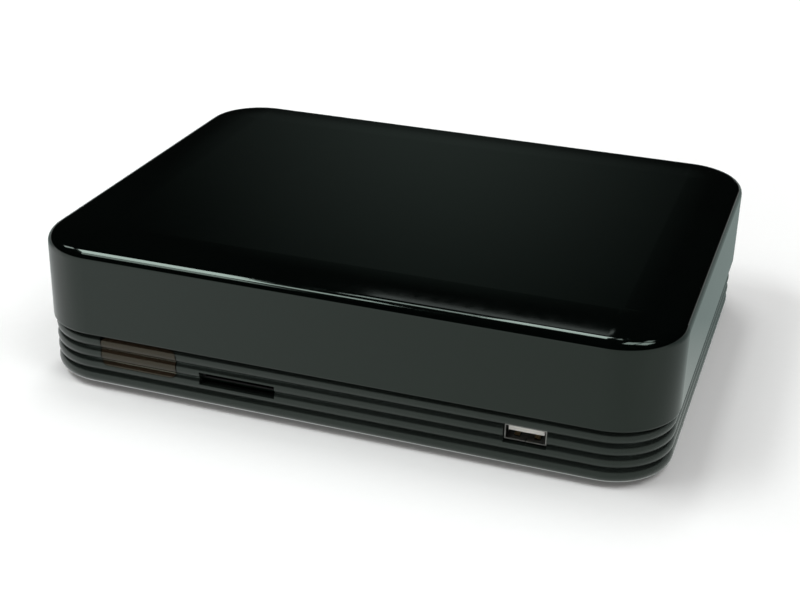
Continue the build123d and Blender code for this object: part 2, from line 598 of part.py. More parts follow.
# ---------------------------------------------------------------- drive tray
with BuildPart() as tray_bezel:
    with BuildSketch(left_section):
        with BuildLine():
            shoulder_line(0, 0, COVER_LOW + LOW_EDGE_R)
            Polyline((SHOULDER, CASE_H), (SHOULDER, COVER_LOW), (LOW_EDGE_R, COVER_LOW))
            RadiusArc((LOW_EDGE_R, COVER_LOW), (0, COVER_LOW + LOW_EDGE_R), LOW_EDGE_R)
        make_face()
        with Locations([(BEZEL_T / 2, BEZEL_MID_Z)]):
            Rectangle(BEZEL_T, BEZEL_TOP - COVER_LOW, mode=Mode.INTERSECT)
    extrude(amount=BEZEL_HALF, both=True)
    block((FACE_X + BEZEL_T - 1, BUTTON_Y - BUTTON_W / 2 - 3, RECESS_Z[0] - 3),
          (TRAY_FRONT_X, RECESS_Y[1] + 3, RECESS_Z[1] + 3))
    for y in (-BEZEL_SCREW_Y, BEZEL_SCREW_Y):
        rod_x(y, BEZEL_MID_Z, FACE_X + BEZEL_T - 1, TRAY_FRONT_X, BEZEL_BOSS_R)
        rod_x(y, BEZEL_MID_Z, FACE_X + 1.5, TRAY_FRONT_X + 1, SMALL_SCREW_R, mode=Mode.SUBTRACT)
    block((FACE_X - 1, RECESS_Y[0], RECESS_Z[0]),
          (FACE_X + HANDLE_T + 0.5, RECESS_Y[1], RECESS_Z[1]), mode=Mode.SUBTRACT)
    block((FACE_X - 1, BUTTON_Y - BUTTON_W / 2 - PANEL_GAP, RECESS_Z[0]),
          (TRAY_FRONT_X + 1, BUTTON_Y + BUTTON_W / 2 + PANEL_GAP, RECESS_Z[1]), mode=Mode.SUBTRACT)
    block((FACE_X + BUTTON_WEB, BUTTON_Y - BUTTON_W / 2 - PANEL_GAP, RECESS_Z[0] - BUTTON_FLANGE),
          (TRAY_FRONT_X + 1, BUTTON_Y + BUTTON_W / 2 + PANEL_GAP, RECESS_Z[1] + BUTTON_FLANGE),
          mode=Mode.SUBTRACT)
    post(HANDLE_PIVOT_X, HANDLE_PIVOT_Y, RECESS_Z[0] - PIN_HOLD, RECESS_Z[1] + PIN_HOLD, HANDLE_PIN_R,
         mode=Mode.SUBTRACT)
keep(tray_bezel, "tray_bezel")

with BuildPart() as handle_pin:
    post(HANDLE_PIVOT_X, HANDLE_PIVOT_Y, RECESS_Z[0] - PIN_HOLD, RECESS_Z[1] + PIN_HOLD,
         HANDLE_PIN_R - SCREW_GAP)
keep(handle_pin, "handle_pin")

with BuildPart() as tray_handle:
    with BuildSketch(Plane.XY.offset(BEZEL_MID_Z - HANDLE_H / 2)):
        with Locations([(HANDLE_PIVOT_X, (HANDLE_FREE_Y + HANDLE_PIVOT_Y) / 2)]):
            Rectangle(HANDLE_T, HANDLE_PIVOT_Y - HANDLE_FREE_Y)
        with Locations([(HANDLE_PIVOT_X, HANDLE_PIVOT_Y)]):
            Circle(HANDLE_T / 2)
            Circle(HANDLE_PIN_R + SHAFT_GAP, mode=Mode.SUBTRACT)
    extrude(amount=HANDLE_H)
    free_edges = tray_handle.edges().filter_by(Axis.Z).group_by(Axis.Y)[0]
    fillet(free_edges, HANDLE_NOSE_R)
    block((FACE_X + HANDLE_RIM, HANDLE_FREE_Y + 2 * HANDLE_RIM, BEZEL_MID_Z - HANDLE_H / 2 + HANDLE_RIM),
          (FACE_X + HANDLE_T + 1, HANDLE_PIVOT_Y - 6, BEZEL_MID_Z + HANDLE_H / 2 - HANDLE_RIM),
          mode=Mode.SUBTRACT)
    for k in range(GRIP_RIBS):
        y = HANDLE_FREE_Y + 2.5 + GRIP_PITCH * k
        block((FACE_X - 1, y, BEZEL_MID_Z - HANDLE_H / 2 + 2),
              (FACE_X + 0.5, y + GRIP_W, BEZEL_MID_Z + HANDLE_H / 2 - 2), mode=Mode.SUBTRACT)
keep(tray_handle, "tray_handle")

with BuildPart() as release_button:
    block((FACE_X, BUTTON_Y - BUTTON_W / 2, BEZEL_MID_Z - HANDLE_H / 2),
          (FACE_X + HANDLE_T, BUTTON_Y + BUTTON_W / 2, BEZEL_MID_Z + HANDLE_H / 2))
    block((FACE_X + BUTTON_WEB + 0.1, BUTTON_Y - BUTTON_W / 2, RECESS_Z[0] - BUTTON_FLANGE + 0.3),
          (FACE_X + BUTTON_WEB + 1.3, BUTTON_Y + BUTTON_W / 2, RECESS_Z[1] + BUTTON_FLANGE - 0.3))
    rod_x(BUTTON_Y, BEZEL_MID_Z, SPRING_SEAT_X, FACE_X + 6, SPRING_R + SPRING_WIRE_R + 0.35,
          mode=Mode.SUBTRACT)
keep(release_button, "release_button")

with BuildPart() as release_spring:
    with BuildLine() as coil:
        Helix(pitch=(SPRING_X[1] - SPRING_X[0]) / SPRING_TURNS, height=SPRING_X[1] - SPRING_X[0],
              radius=SPRING_R, center=(SPRING_X[0], BUTTON_Y, BEZEL_MID_Z), direction=(1, 0, 0))
    with BuildSketch(Plane(origin=coil.line @ 0, z_dir=coil.line % 0)):
        Circle(SPRING_WIRE_R)
    sweep(path=coil.line, is_frenet=True)
keep(release_spring, "release_spring")

with BuildPart() as tray_frame:
    block((TRAY_FRONT_X, -TRAY_OUT, TRAY_LOW), (DRIVE_END_X - 2, TRAY_OUT, TRAY_FLOOR))
    block((TRAY_FRONT_X, -TRAY_OUT, TRAY_LOW), (TRAY_FRONT_X + SHEET, TRAY_OUT, TRAY_WALL_TOP))
    for side in (-1, 1):
        y = sorted((side * TRAY_IN, side * TRAY_OUT))
        block((TRAY_FRONT_X, y[0], TRAY_LOW), (DRIVE_END_X - 2, y[1], TRAY_WALL_TOP))
    for x, side in DRIVE_SCREWS:
        rod_y(x, DRIVE_SCREW_Z, side * TRAY_OUT - 1, side * TRAY_OUT + 1, DRIVE_SCREW_R + 0.2,
              mode=Mode.SUBTRACT)
    for y in (-BEZEL_SCREW_Y, BEZEL_SCREW_Y):
        rod_x(y, BEZEL_MID_Z, TRAY_FRONT_X - 1, TRAY_FRONT_X + 2, SMALL_SCREW_R + 0.1,
              mode=Mode.SUBTRACT)
    for k in range(-3, 4):
        y = TRAY_SLOT_PITCH * k
        block((TRAY_FRONT_X + 30, y - TRAY_SLOT_W / 2, TRAY_LOW - 1),
              (DRIVE_END_X - 40, y + TRAY_SLOT_W / 2, TRAY_FLOOR + 1), mode=Mode.SUBTRACT)
keep(tray_frame, "tray_frame")

with BuildPart() as bezel_screws:
    for y in (-BEZEL_SCREW_Y, BEZEL_SCREW_Y):
        rod_x(y, BEZEL_MID_Z, TRAY_FRONT_X + SHEET, TRAY_FRONT_X + SHEET + SMALL_HEAD_H, SMALL_HEAD_R)
        rod_x(y, BEZEL_MID_Z, FACE_X + 2, TRAY_FRONT_X + SHEET + 0.5, SMALL_SCREW_R - SCREW_GAP)
keep(bezel_screws, "bezel_screws")

# ---------------------------------------------------------------- the drive in the tray
with BuildPart() as drive_body:
    block((DRIVE_X0, -DRIVE_W / 2, TRAY_FLOOR), (DRIVE_END_X, DRIVE_W / 2, DRIVE_TOP - DRIVE_LID_T))
    fillet(drive_body.edges().filter_by(Axis.Z), DRIVE_R)
    with BuildSketch(Plane.XY.offset(DRIVE_TOP - DRIVE_LID_T)):
        with Locations([(DRIVE_X0 + PLATTER_X, 0)]):
            Circle(PLATTER_POCKET_R)
        with Locations([(DRIVE_END_X - ARM_POCKET_X, ARM_POCKET_Y)]):
            RectangleRounded(ARM_POCKET[0], ARM_POCKET[1], 2 * DRIVE_R)
    extrude(amount=-POCKET_DEPTH, mode=Mode.SUBTRACT)
    block((DRIVE_END_X - PLUG_DEPTH - DRIVE_BOARD_L - 1, -DRIVE_BOARD_HALF - 0.5, TRAY_FLOOR - 1),
          (DRIVE_END_X + 1, DRIVE_BOARD_HALF + 0.5, DRIVE_BOARD_Z + DRIVE_BOARD_T), mode=Mode.SUBTRACT)
    block((DRIVE_END_X - PLUG_DEPTH, PLUG_Y - PLUG_HALF, DRIVE_BOARD_Z),
          (DRIVE_END_X + 1, PLUG_Y + PLUG_HALF, DRIVE_SOCKET_Z + PLUG_H / 2), mode=Mode.SUBTRACT)
    for x, side in DRIVE_SCREWS:
        rod_y(x, DRIVE_SCREW_Z, side * DRIVE_W / 2 - 3, side * DRIVE_W / 2 + 3, DRIVE_SCREW_R,
              mode=Mode.SUBTRACT)
keep(drive_body, "drive_body")

with BuildPart() as drive_lid:
    with BuildSketch(Plane.XY.offset(DRIVE_TOP - DRIVE_LID_T)):
        with Locations([((DRIVE_X0 + DRIVE_END_X) / 2, 0)]):
            RectangleRounded(DRIVE_L - 2 * LID_INSET, DRIVE_W - 2 * LID_INSET, LID_R)
    extrude(amount=DRIVE_LID_T)
    with BuildSketch(Plane.XY.offset(DRIVE_TOP)):
        with Locations([(DRIVE_X0 + PLATTER_X, 0)]):
            Circle(LID_RING_R)
            Circle(LID_RING_R - LID_RING_W, mode=Mode.SUBTRACT)
        with Locations([(DRIVE_END_X - 24, -20)]):
            RectangleRounded(LID_PATCH[0], LID_PATCH[1], LID_R + 1)
            RectangleRounded(LID_PATCH[0] - 2, LID_PATCH[1] - 2, LID_R, mode=Mode.SUBTRACT)
    extrude(amount=-LID_EMBOSS, mode=Mode.SUBTRACT)
keep(drive_lid, "drive_lid")

with BuildPart() as drive_board:
    block((DRIVE_END_X - PLUG_DEPTH - DRIVE_BOARD_L, -DRIVE_BOARD_HALF, DRIVE_BOARD_Z),
          (DRIVE_END_X - PLUG_DEPTH - 0.2, DRIVE_BOARD_HALF, DRIVE_BOARD_Z + DRIVE_BOARD_T))
keep(drive_board, "drive_board")

with BuildPart() as drive_connector:
    block((DRIVE_END_X - PLUG_DEPTH, PLUG_Y - PLUG_HALF, DRIVE_SOCKET_Z - PLUG_H / 2),
          (DRIVE_END_X - 0.4, PLUG_Y + PLUG_HALF, DRIVE_SOCKET_Z + PLUG_H / 2))
    block((DRIVE_END_X - PLUG_DEPTH + 1.5, PLUG_Y - PLUG_HALF + 1.1, DRIVE_SOCKET_Z - 1.65),
          (DRIVE_END_X + 1, PLUG_Y + PLUG_HALF - 1.1, DRIVE_SOCKET_Z + 1.65), mode=Mode.SUBTRACT)
    block((DRIVE_END_X - PLUG_DEPTH + 1, PLUG_Y - PLUG_HALF + 2.5, DRIVE_SOCKET_Z - 0.5),
          (DRIVE_END_X - 1, PLUG_Y + PLUG_HALF - 2.5, DRIVE_SOCKET_Z + 0.5))
keep(drive_connector, "drive_connector")

with BuildPart() as drive_screws:
    for x, side in DRIVE_SCREWS:
        head = sorted((side * TRAY_OUT, side * (TRAY_OUT + SMALL_HEAD_H)))
        shank = sorted((side * (DRIVE_W / 2 - 2.5), side * (TRAY_OUT + 0.5)))
        rod_y(x, DRIVE_SCREW_Z, head[0], head[1], SCREW_HEAD_R)
        rod_y(x, DRIVE_SCREW_Z, shank[0], shank[1], DRIVE_SCREW_R - SCREW_GAP)
keep(drive_screws, "drive_screws")

# ---------------------------------------------------------------- cage, backplane and board
with BuildPart() as drive_cage:
    for side in (-1, 1):
        ledge = sorted((side * (TRAY_IN - LEDGE_W), side * CAGE_OUT))
        wall = sorted((side * CAGE_IN, side * CAGE_OUT))
        block((CAGE_X0, ledge[0], LEDGE_TOP - SHEET), (CAGE_END_X + SHEET, ledge[1], LEDGE_TOP))
        block((CAGE_X0, wall[0], LEDGE_TOP - SHEET), (CAGE_END_X + SHEET, wall[1], CAGE_TOP))
    block((CAGE_X0 + 6, -CAGE_OUT, LEDGE_TOP - SHEET), (CAGE_X0 + 18, CAGE_OUT, LEDGE_TOP))
    block((CAGE_END_X, -CAGE_OUT, LEDGE_TOP - SHEET), (CAGE_END_X + SHEET, CAGE_OUT, CAGE_TOP))
    for x, y in CAGE_POSTS:
        ear = sorted((y / abs(y) * (CAGE_OUT - 0.2), y + y / abs(y) * 3.2))
        block((x - 5, ear[0], LEDGE_TOP - SHEET), (x + 5, ear[1], LEDGE_TOP))
        post(x, y, LEDGE_TOP - SHEET - 1, LEDGE_TOP + 1, SMALL_SCREW_R + 0.2, mode=Mode.SUBTRACT)
    for y in (-26, 0, 26):
        block((CAGE_END_X - 1, y - CAGE_SLOT[0] / 2, CAGE_TOP - 6 - CAGE_SLOT[1]),
              (CAGE_END_X + SHEET + 1, y + CAGE_SLOT[0] / 2, CAGE_TOP - 6), mode=Mode.SUBTRACT)
keep(drive_cage, "drive_cage")

with BuildPart() as cage_screws:
    for x, y in CAGE_POSTS:
        post(x, y, LEDGE_TOP, LEDGE_TOP + SMALL_HEAD_H, SMALL_HEAD_R)
        post(x, y, LEDGE_TOP - 7, LEDGE_TOP + 0.5, SMALL_SCREW_R - SCREW_GAP)
keep(cage_screws, "cage_screws")

with BuildPart() as backplane_board:
    block((BACKPLANE_X, -BACKPLANE_HALF, BACKPLANE_Z[0]), (CAGE_END_X, BACKPLANE_HALF, BACKPLANE_Z[1]))
keep(backplane_board, "backplane_board")

with BuildPart() as backplane_socket:
    block((DRIVE_END_X + 0.8, PLUG_Y - PLUG_HALF - 1, DRIVE_SOCKET_Z - PLUG_H / 2 - 0.4),
          (BACKPLANE_X, PLUG_Y + PLUG_HALF + 1, DRIVE_SOCKET_Z + PLUG_H / 2 + 0.4))
    block((DRIVE_END_X - 3.8, PLUG_Y - PLUG_HALF + 1.5, DRIVE_SOCKET_Z - 1.3),
          (DRIVE_END_X + 2, PLUG_Y + PLUG_HALF - 1.5, DRIVE_SOCKET_Z + 1.3))
    block((DRIVE_END_X - 5, PLUG_Y - PLUG_HALF + 2.2, DRIVE_SOCKET_Z - 0.75),
          (DRIVE_END_X + 1, PLUG_Y + PLUG_HALF - 2.2, DRIVE_SOCKET_Z + 0.75), mode=Mode.SUBTRACT)
keep(backplane_socket, "backplane_socket")

with BuildPart() as backplane_header:
    block((BACKPLANE_X - 2, -HEADER_HALF, BOARD_TOP), (CAGE_END_X + 2, HEADER_HALF, BOARD_TOP + HEADER_H))
    block((BACKPLANE_X, -BACKPLANE_HALF, BACKPLANE_Z[0]),
          (CAGE_END_X, BACKPLANE_HALF, BOARD_TOP + HEADER_H + 1), mode=Mode.SUBTRACT)
keep(backplane_header, "backplane_header")

with BuildPart() as main_board:
    block((BOARD_X[0], BOARD_Y[0], BOARD_LOW), (BOARD_X[1], BOARD_Y[1], BOARD_TOP))
    for x, y in BOARD_POSTS:
        post(x, y, BOARD_LOW - 1, BOARD_TOP + 1, SMALL_SCREW_R + 0.4, mode=Mode.SUBTRACT)
    for x, y in CAGE_POSTS:
        post(x, y, BOARD_LOW - 1, BOARD_TOP + 1, BASE_POST_R + 0.4, mode=Mode.SUBTRACT)
keep(main_board, "main_board")

with BuildPart() as board_screws:
    for x, y in BOARD_POSTS:
        post(x, y, BOARD_TOP, BOARD_TOP + SMALL_HEAD_H, SMALL_HEAD_R)
        post(x, y, BOARD_LOW - 3.5, BOARD_TOP + 0.5, SMALL_SCREW_R - SCREW_GAP)
keep(board_screws, "board_screws")

with BuildPart() as main_chip:
    block((CHIP[0] - CHIP_HALF, CHIP[1] - CHIP_HALF, BOARD_TOP),
          (CHIP[0] + CHIP_HALF, CHIP[1] + CHIP_HALF, BOARD_TOP + CHIP_T))
keep(main_chip, "main_chip")

with BuildPart() as heatsink:
    low = BOARD_TOP + CHIP_T
    block((CHIP[0] - CHIP_HALF, CHIP[1] - CHIP_HALF, low),
          (CHIP[0] + CHIP_HALF, CHIP[1] + CHIP_HALF, low + SINK_H))
    fin_pitch = 2 * CHIP_HALF / FIN_COUNT
    for k in range(1, FIN_COUNT):
        x = CHIP[0] - CHIP_HALF + k * fin_pitch
        block((x - FIN_GAP / 2, CHIP[1] - CHIP_HALF - 1, low + SINK_BASE),
              (x + FIN_GAP / 2, CHIP[1] + CHIP_HALF + 1, low + SINK_H + 1), mode=Mode.SUBTRACT)
keep(heatsink, "heatsink")

with BuildPart() as memory_chips:
    for x, y in MEMORY:
        block((x - MEMORY_SIZE[0] / 2, y - MEMORY_SIZE[1] / 2, BOARD_TOP),
              (x + MEMORY_SIZE[0] / 2, y + MEMORY_SIZE[1] / 2, BOARD_TOP + MEMORY_SIZE[2]))
keep(memory_chips, "memory_chips")

with BuildPart() as support_chips:
    for x, y, half in SUPPORT:
        block((x - half, y - half, BOARD_TOP), (x + half, y + half, BOARD_TOP + SUPPORT_T))
keep(support_chips, "support_chips")

with BuildPart() as capacitors:
    for x, y in CAPACITOR:
        post(x, y, BOARD_TOP, BOARD_TOP + CAPACITOR_H, CAPACITOR_R)
keep(capacitors, "capacitors")

with BuildPart() as inductors:
    for x, y in INDUCTOR:
        block((x - INDUCTOR_W / 2, y - INDUCTOR_W / 2, BOARD_TOP),
              (x + INDUCTOR_W / 2, y + INDUCTOR_W / 2, BOARD_TOP + INDUCTOR_H))
    fillet(inductors.edges().filter_by(Axis.Z), INDUCTOR_R)
keep(inductors, "inductors")

# ---------------------------------------------------------------- front sockets and lights
with BuildPart() as sd_socket:
    mid = (CARD_SLOT_X[0] + CARD_SLOT_X[1]) / 2
    front = FRONT_IN_Y + 0.2
    block((mid - CARD_BODY[0] / 2, front, BOARD_TOP),
          (mid + CARD_BODY[0] / 2, front + CARD_BODY[1], BOARD_TOP + CARD_BODY[2]))
    block((mid - CARD_CAVITY[0] / 2, front - 1, BOARD_TOP + 0.5),
          (mid + CARD_CAVITY[0] / 2, FRONT_IN_Y + CARD_CAVITY[1], BOARD_TOP + 0.5 + CARD_CAVITY[2]),
          mode=Mode.SUBTRACT)
keep(sd_socket, "sd_socket")


def usb_a(name, x, mouth, side):
    """A USB-A socket whose mouth faces -Y (side 1) or +Y (side -1)."""
    low = BOARD_TOP
    mid = low + USB_H / 2
    with BuildPart() as shell:
        ends = sorted((mouth, mouth + side * USB_DEPTH))
        block((x - USB_W / 2, ends[0], low), (x + USB_W / 2, ends[1], low + USB_H))
        ends = sorted((mouth - side, mouth + side * (USB_DEPTH - 1)))
        block((x - USB_W / 2 + USB_WALL, ends[0], low + USB_WALL),
              (x + USB_W / 2 - USB_WALL, ends[1], low + USB_H - USB_WALL), mode=Mode.SUBTRACT)
        # seam in the lower lip and windows for the two springs
        ends = sorted((mouth - side, mouth + side * 2))
        block((x - USB_SEAM / 2, ends[0], low - 1), (x + USB_SEAM / 2, ends[1], low + 1),
              mode=Mode.SUBTRACT)
        for spring_x in (x - USB_SPRING_X, x + USB_SPRING_X):
            ends = sorted((mouth + side * 2, mouth + side * 8))
            block((spring_x - USB_SPRING_W / 2 - 0.2, ends[0], low - 1),
                  (spring_x + USB_SPRING_W / 2 + 0.2, ends[1], low + 1), mode=Mode.SUBTRACT)
    keep(shell, f"{name}_shell")
    with BuildPart() as tongue:
        top = mid + 0.1 + USB_TONGUE[1]
        ends = sorted((mouth + side * USB_TONGUE_BACK, mouth + side * (USB_DEPTH - 1)))
        block((x - USB_TONGUE[0] / 2, ends[0], mid + 0.1), (x + USB_TONGUE[0] / 2, ends[1], top))
        back = sorted((mouth + side * (USB_DEPTH - 3), mouth + side * (USB_DEPTH - 1)))
        block((x - USB_W / 2 + USB_WALL, back[0], low + USB_WALL),
              (x + USB_W / 2 - USB_WALL, back[1], top))
    keep(tongue, f"{name}_tongue")


usb_a("front_usb", USB_X, USB_MOUTH_Y, 1)
usb_a("rear_usb", REAR_USB_X, PANEL_FACE_Y + PORT_STAND + 0.2, -1)

with BuildPart() as front_usb_springs:
    for spring_x in (USB_X - USB_SPRING_X, USB_X + USB_SPRING_X):
        with BuildSketch(Plane.YZ.offset(spring_x - USB_SPRING_W / 2)):
            with BuildLine():
                Polyline((USB_MOUTH_Y + 8, BOARD_TOP + 0.1), (USB_MOUTH_Y + 4, BOARD_TOP + 1.0),
                         (USB_MOUTH_Y + 2.6, BOARD_TOP + 0.45), (USB_MOUTH_Y + 2.6, BOARD_TOP + 0.2),
                         (USB_MOUTH_Y + 4, BOARD_TOP + 0.75), (USB_MOUTH_Y + 7.4, BOARD_TOP),
                         (USB_MOUTH_Y + 8, BOARD_TOP), close=True)
            make_face()
        extrude(amount=USB_SPRING_W)
keep(front_usb_springs, "front_usb_springs")

with BuildPart() as ir_receiver:
    x = WINDOW_X[1] - 8
    front = FRONT_IN_Y + 2.2
    block((x - 3, front, BOARD_TOP), (x + 3, front + 3.5, BOARD_TOP + 7))
    rod_y(x, BOARD_TOP + 4, front - 0.8, front + 0.5, 2.2)
keep(ir_receiver, "ir_receiver")

with BuildPart() as status_leds:
    for shift in (7, 13):
        x = WINDOW_X[0] + shift
        block((x - 1.6, FRONT_IN_Y + 2.6, BOARD_TOP), (x + 1.6, FRONT_IN_Y + 6.6, BOARD_TOP + 4.4))
        rod_y(x, BOARD_TOP + 2.7, FRONT_IN_Y + 1.6, FRONT_IN_Y + 3, 1.5)
keep(status_leds, "status_leds")

# ---------------------------------------------------------------- rear bay and its sockets
with BuildPart() as rear_panel:
    block((BAY_OUT_X[0], PANEL_Y, BAY_OUT_Z[0]), (BAY_OUT_X[1], COVER_IN_Y - 0.1, BAY_OUT_Z[1]))
    block((BAY_X[0], PANEL_FACE_Y, BAY_Z[0]), (BAY_X[1], HALF_D, BAY_Z[1]), mode=Mode.SUBTRACT)
    block((BAY_OUT_X[0] - 1, BASE_IN_Y - 0.1, BAY_OUT_Z[0] - 1), (BAY_OUT_X[1] + 1, HALF_D, BASE_TOP + 0.3),
          mode=Mode.SUBTRACT)
    for x, half, high in ((LAN_X, LAN_HALF, LAN_H), (USB_B_X, USB_B_HALF, USB_B_H),
                          (REAR_USB_X, USB_W / 2, USB_H), (HDMI_X, HDMI_HALF, HDMI_H),
                          (DC_X, DC_HALF, DC_H)):
        block((x - half - PORT_GAP, PANEL_Y - 1, BOARD_TOP - PORT_GAP),
              (x + half + PORT_GAP, PANEL_FACE_Y + 1, BOARD_TOP + high + PORT_GAP), mode=Mode.SUBTRACT)
    block((SWITCH_X - SWITCH_HALF[0] - 0.1, PANEL_Y - 1, SWITCH_Z - SWITCH_HALF[1] - 0.1),
          (SWITCH_X + SWITCH_HALF[0] + 0.1, PANEL_FACE_Y + 1, SWITCH_Z + SWITCH_HALF[1] + 0.1),
          mode=Mode.SUBTRACT)
    rod_y(SWITCH_X, RESET_Z, PANEL_Y - 1, PANEL_FACE_Y + 1, RESET_R + 0.3, mode=Mode.SUBTRACT)
    for x, z in RCA_SPOTS:
        rod_y(x, z, PANEL_Y - 1, PANEL_FACE_Y + 1, RCA_R + PORT_GAP, mode=Mode.SUBTRACT)
keep(rear_panel, "rear_panel")

with BuildPart() as rca_block:
    block((RCA_X - RCA_PITCH_X - RCA_BLOCK_EDGE, PANEL_Y - RCA_BLOCK_L, BOARD_TOP),
          (RCA_X + RCA_PITCH_X + RCA_BLOCK_EDGE, PANEL_Y, RCA_LOW_Z + RCA_PITCH_Z + RCA_BLOCK_EDGE))
    for x, z in RCA_SPOTS:
        rod_y(x, z, PANEL_Y - RCA_ROOT, PANEL_Y + 1, RCA_R, mode=Mode.SUBTRACT)
keep(rca_block, "rca_block")

with BuildPart() as rca_barrels:
    for x, z in RCA_SPOTS:
        rod_y(x, z, PANEL_Y - RCA_ROOT, PANEL_FACE_Y + RCA_REACH, RCA_R - SCREW_GAP)
        rod_y(x, z, PANEL_Y - RCA_ROOT - 1, PANEL_FACE_Y + RCA_REACH + 1, RCA_R - RCA_WALL,
              mode=Mode.SUBTRACT)
keep(rca_barrels, "rca_barrels")

with BuildPart() as rca_collars:
    for x, z in RCA_SPOTS:
        rod_y(x, z, PANEL_FACE_Y, PANEL_FACE_Y + RCA_COLLAR_T, RCA_COLLAR_R)
        rod_y(x, z, PANEL_FACE_Y - 1, PANEL_FACE_Y + RCA_COLLAR_T + 1, RCA_R, mode=Mode.SUBTRACT)
keep(rca_collars, "rca_collars")

with BuildPart() as rca_inserts:
    for x, z in RCA_SPOTS:
        rod_y(x, z, PANEL_Y - RCA_ROOT, PANEL_FACE_Y + RCA_REACH - 1, RCA_R - RCA_WALL - SCREW_GAP)
        rod_y(x, z, PANEL_FACE_Y - 2, PANEL_FACE_Y + RCA_REACH, RCA_BORE_R, mode=Mode.SUBTRACT)
keep(rca_inserts, "rca_inserts")

with BuildPart() as lan_jack:
    face = PANEL_FACE_Y + PORT_STAND
    low = BOARD_TOP + LAN_CAVITY_UP
    block((LAN_X - LAN_HALF, face - LAN_L, BOARD_TOP), (LAN_X + LAN_HALF, face, BOARD_TOP + LAN_H))
    block((LAN_X - LAN_CAVITY[0] / 2, face - LAN_CAVITY[1], low),
          (LAN_X + LAN_CAVITY[0] / 2, face + 1, low + LAN_CAVITY[2]), mode=Mode.SUBTRACT)
    low = low + LAN_CAVITY[2] - 0.9
    block((LAN_X - LAN_LATCH[0] / 2, face - LAN_CAVITY[1], low),
          (LAN_X + LAN_LATCH[0] / 2, face + 1, low + LAN_LATCH[1]), mode=Mode.SUBTRACT)
keep(lan_jack, "lan_jack")

with BuildPart() as lan_contacts:
    for k in range(LAN_PINS):
        x = LAN_X + (k - (LAN_PINS - 1) / 2) * LAN_PIN_PITCH
        low = BOARD_TOP + LAN_CAVITY_UP
        block((x - LAN_PIN_W / 2, PANEL_FACE_Y + PORT_STAND - LAN_CAVITY[1], low),
              (x + LAN_PIN_W / 2, PANEL_FACE_Y - 2, low + 0.5))
keep(lan_contacts, "lan_contacts")

with BuildPart() as usb_b_shell:
    face = PANEL_FACE_Y + PORT_STAND
    block((USB_B_X - USB_B_HALF, face - LAN_L, BOARD_TOP),
          (USB_B_X + USB_B_HALF, face, BOARD_TOP + USB_B_H))
    with BuildSketch(Plane.XZ.offset(-face)):
        with Locations([(USB_B_X, BOARD_TOP + USB_B_H / 2)]):
            Rectangle(USB_B_CAVITY[0], USB_B_CAVITY[1])
        chamfer(vertices().group_by(Axis.Y)[-1], USB_B_CHAMFER)
    extrude(amount=LAN_CAVITY[1], mode=Mode.SUBTRACT)
keep(usb_b_shell, "usb_b_shell")

with BuildPart() as usb_b_tongue:
    mid = BOARD_TOP + USB_B_H / 2
    block((USB_B_X - USB_B_TONGUE[0] / 2, PANEL_FACE_Y + PORT_STAND - LAN_CAVITY[1],
           mid - USB_B_TONGUE[1] / 2),
          (USB_B_X + USB_B_TONGUE[0] / 2, PANEL_FACE_Y - 1, mid + USB_B_TONGUE[1] / 2))
keep(usb_b_tongue, "usb_b_tongue")

with BuildPart() as hdmi_shell:
    face = PANEL_FACE_Y + PORT_STAND
    block((HDMI_X - HDMI_HALF, face - HDMI_L, BOARD_TOP),
          (HDMI_X + HDMI_HALF, face, BOARD_TOP + HDMI_H))
    with BuildSketch(Plane.XZ.offset(-face)):
        with Locations([(HDMI_X, BOARD_TOP + HDMI_H / 2)]):
            Rectangle(2 * (HDMI_HALF - HDMI_WALL), HDMI_H - 2 * HDMI_WALL)
        chamfer(vertices().group_by(Axis.Y)[0], HDMI_CHAMFER)
    extrude(amount=HDMI_L - 1, mode=Mode.SUBTRACT)
keep(hdmi_shell, "hdmi_shell")

with BuildPart() as hdmi_tongue:
    mid = BOARD_TOP + HDMI_H / 2
    block((HDMI_X - HDMI_TONGUE[0] / 2, PANEL_FACE_Y + PORT_STAND - HDMI_L + 1, mid - 0.2),
          (HDMI_X + HDMI_TONGUE[0] / 2, PANEL_FACE_Y - 0.6, mid - 0.2 + HDMI_TONGUE[1]))
keep(hdmi_tongue, "hdmi_tongue")

with BuildPart() as dc_jack:
    block((DC_X - DC_HALF, PANEL_FACE_Y - DC_L, BOARD_TOP),
          (DC_X + DC_HALF, PANEL_FACE_Y + 0.5, BOARD_TOP + DC_H))
    rod_y(DC_X, DC_Z, PANEL_FACE_Y - DC_L + 4, PANEL_FACE_Y + 1, DC_BORE_R, mode=Mode.SUBTRACT)
keep(dc_jack, "dc_jack")

with BuildPart() as dc_jack_pin:
    rod_y(DC_X, DC_Z, PANEL_FACE_Y - DC_L + 4, PANEL_FACE_Y - 1, DC_PIN_R)
keep(dc_jack_pin, "dc_jack_pin")

